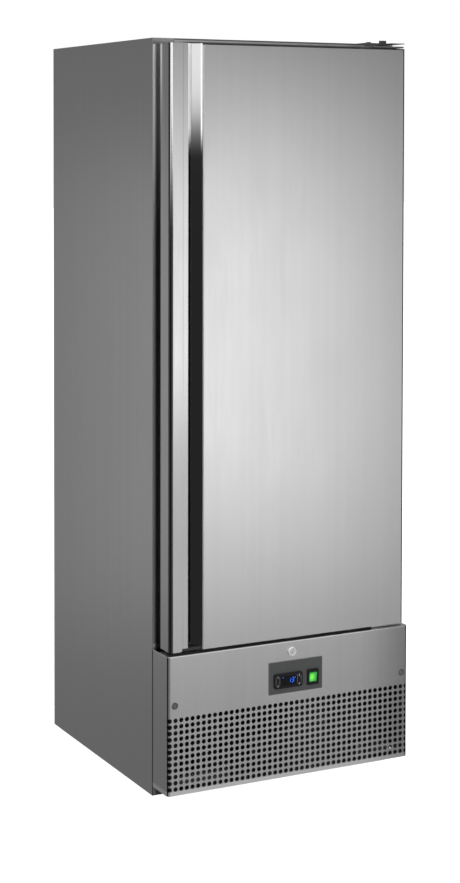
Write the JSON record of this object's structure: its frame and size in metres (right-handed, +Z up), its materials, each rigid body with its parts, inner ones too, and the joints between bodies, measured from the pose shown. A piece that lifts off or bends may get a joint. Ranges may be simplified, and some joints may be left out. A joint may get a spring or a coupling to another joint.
{
  "type": "commercial refrigerator",
  "caption": "Upright cold-storage cabinet with one insulated door, a full-height finger-trough handle, and a perforated lower panel with thermostat, switch and lock.",
  "frame": {"origin": "on the floor, below the middle of the whole object in width and depth", "axes": "+X to the refrigerator's right as seen from the front, -Y out of the door, +Z up"},
  "size_m": [0.7, 0.7524, 1.925],
  "materials": {
    "stainless": "satin",
    "handle_steel": "satin",
    "zinc_sheet": "satin",
    "zinc_plate": "satin",
    "bolt_dark": "satin",
    "foam": "matte",
    "liner_white": "satin",
    "black_steel": "satin",
    "dark_plastic": "matte",
    "plate_grey": "satin",
    "black_gloss": "gloss",
    "window_black": "gloss",
    "key_black": "satin",
    "rocker_green": "gloss",
    "screw_grey": "satin",
    "chrome": "polished",
    "gasket": "matte",
    "rubber_black": "matte",
    "cap_black": "matte",
    "white_plastic": "satin",
    "copper": "satin",
    "fins": "satin",
    "shelf_coat": "satin",
    "lamp_white": "satin"
  },
  "bodies": {
    "cabinet": {"side_panel_left": "stainless", "side_panel_right": "stainless", "top_panel": "stainless", "back_panel": "zinc_sheet", "cabinet_foam": "foam", "inner_liner": "liner_white", "lower_rail": "zinc_sheet", "base_tray": "zinc_sheet", "rear_cover": "zinc_sheet", "grille_panel": "stainless", "panel_screws": "screw_grey", "panel_clip": "white_plastic", "control_plate": "plate_grey", "thermostat_case": "black_gloss", "display_window": "window_black", "switch_bezel": "black_gloss", "lock_housing": "chrome", "top_hinge_plate": "zinc_plate", "bottom_hinge_plate": "zinc_plate", "hinge_bolts": "bolt_dark", "compressor": "black_steel", "compressor_mounts": "rubber_black", "relay_box": "dark_plastic", "condenser_coil": "black_steel", "condenser_shroud": "black_steel", "condenser_fan_motor": "black_steel", "drip_tray": "dark_plastic", "refrigerant_pipes": "copper", "drain_tube": "white_plastic", "power_inlet": "dark_plastic", "evaporator_cover": "liner_white", "evaporator_coil": "fins", "evaporator_fan_motor": "dark_plastic", "lamp_strip": "lamp_white", "shelf_rails": "zinc_plate", "shelf_runners": "zinc_plate"},
    "door": {"door_skin": "stainless", "door_handle": "handle_steel", "door_foam": "foam", "door_liner": "liner_white", "door_gasket": "gasket", "door_top_cap": "cap_black", "door_bottom_cap": "cap_black", "hinge_bushes": "white_plastic"},
    "lock_plug": {"lock_plug": "chrome"},
    "rocker": {"rocker": "rocker_green"},
    "key_set": {"key_set": "key_black"},
    "key_light": {"key_light": "key_black"},
    "key_up": {"key_up": "key_black"},
    "key_down": {"key_down": "key_black"},
    "condenser_fan": {"condenser_fan": "dark_plastic"},
    "evaporator_fan": {"evaporator_fan": "dark_plastic"},
    "shelf_1": {"shelf_1": "shelf_coat"},
    "shelf_2": {"shelf_2": "shelf_coat"},
    "shelf_3": {"shelf_3": "shelf_coat"},
    "shelf_4": {"shelf_4": "shelf_coat"},
    "foot_front_left": {"foot_front_left": "zinc_plate"},
    "foot_front_right": {"foot_front_right": "zinc_plate"},
    "foot_rear_left": {"foot_rear_left": "zinc_plate"},
    "foot_rear_right": {"foot_rear_right": "zinc_plate"}
  },
  "joints": [
    {"name": "door_hinge", "type": "hinge", "parent": "cabinet", "child": "door", "pos_m": [0.321, -0.33275, 0.393], "axis": [0, 0, 1], "range_deg": [0, 105]},
    {"name": "lock_turn", "type": "hinge", "parent": "cabinet", "child": "lock_plug", "pos_m": [0, -0.36, 0.3602], "axis": [0, -1, 0], "range_deg": [0, 90]},
    {"name": "rocker_tilt", "type": "hinge", "parent": "cabinet", "child": "rocker", "pos_m": [0.0609, -0.36725, 0.2874], "axis": [-1, 0, 0], "range_deg": [0, 16]},
    {"name": "key_set_press", "type": "slide", "parent": "cabinet", "child": "key_set", "axis": [0, 1, 0], "range_m": [0, 0.0006], "stiffness_N_per_m": 400},
    {"name": "key_light_press", "type": "slide", "parent": "cabinet", "child": "key_light", "axis": [0, 1, 0], "range_m": [0, 0.0006], "stiffness_N_per_m": 400},
    {"name": "key_up_press", "type": "slide", "parent": "cabinet", "child": "key_up", "axis": [0, 1, 0], "range_m": [0, 0.0006], "stiffness_N_per_m": 400},
    {"name": "key_down_press", "type": "slide", "parent": "cabinet", "child": "key_down", "axis": [0, 1, 0], "range_m": [0, 0.0006], "stiffness_N_per_m": 400},
    {"name": "condenser_fan_spin", "type": "hinge", "parent": "cabinet", "child": "condenser_fan", "pos_m": [-0.171, -0.17275, 0.175], "axis": [0, 1, 0], "continuous": true},
    {"name": "evaporator_fan_spin", "type": "hinge", "parent": "cabinet", "child": "evaporator_fan", "pos_m": [0, 0.08425, 1.789], "axis": [0, 1, 0], "continuous": true},
    {"name": "shelf_1_slide", "type": "slide", "parent": "cabinet", "child": "shelf_1", "axis": [0, -1, 0], "range_m": [0, 0.04]},
    {"name": "shelf_2_slide", "type": "slide", "parent": "cabinet", "child": "shelf_2", "axis": [0, -1, 0], "range_m": [0, 0.04]},
    {"name": "shelf_3_slide", "type": "slide", "parent": "cabinet", "child": "shelf_3", "axis": [0, -1, 0], "range_m": [0, 0.04]},
    {"name": "shelf_4_slide", "type": "slide", "parent": "cabinet", "child": "shelf_4", "axis": [0, -1, 0], "range_m": [0, 0.04]},
    {"name": "foot_front_left_screw", "type": "slide", "parent": "cabinet", "child": "foot_front_left", "axis": [0, 0, -1], "range_m": [0, 0.012]},
    {"name": "foot_front_right_screw", "type": "slide", "parent": "cabinet", "child": "foot_front_right", "axis": [0, 0, -1], "range_m": [0, 0.012]},
    {"name": "foot_rear_left_screw", "type": "slide", "parent": "cabinet", "child": "foot_rear_left", "axis": [0, 0, -1], "range_m": [0, 0.012]},
    {"name": "foot_rear_right_screw", "type": "slide", "parent": "cabinet", "child": "foot_rear_right", "axis": [0, 0, -1], "range_m": [0, 0.012]}
  ]
}
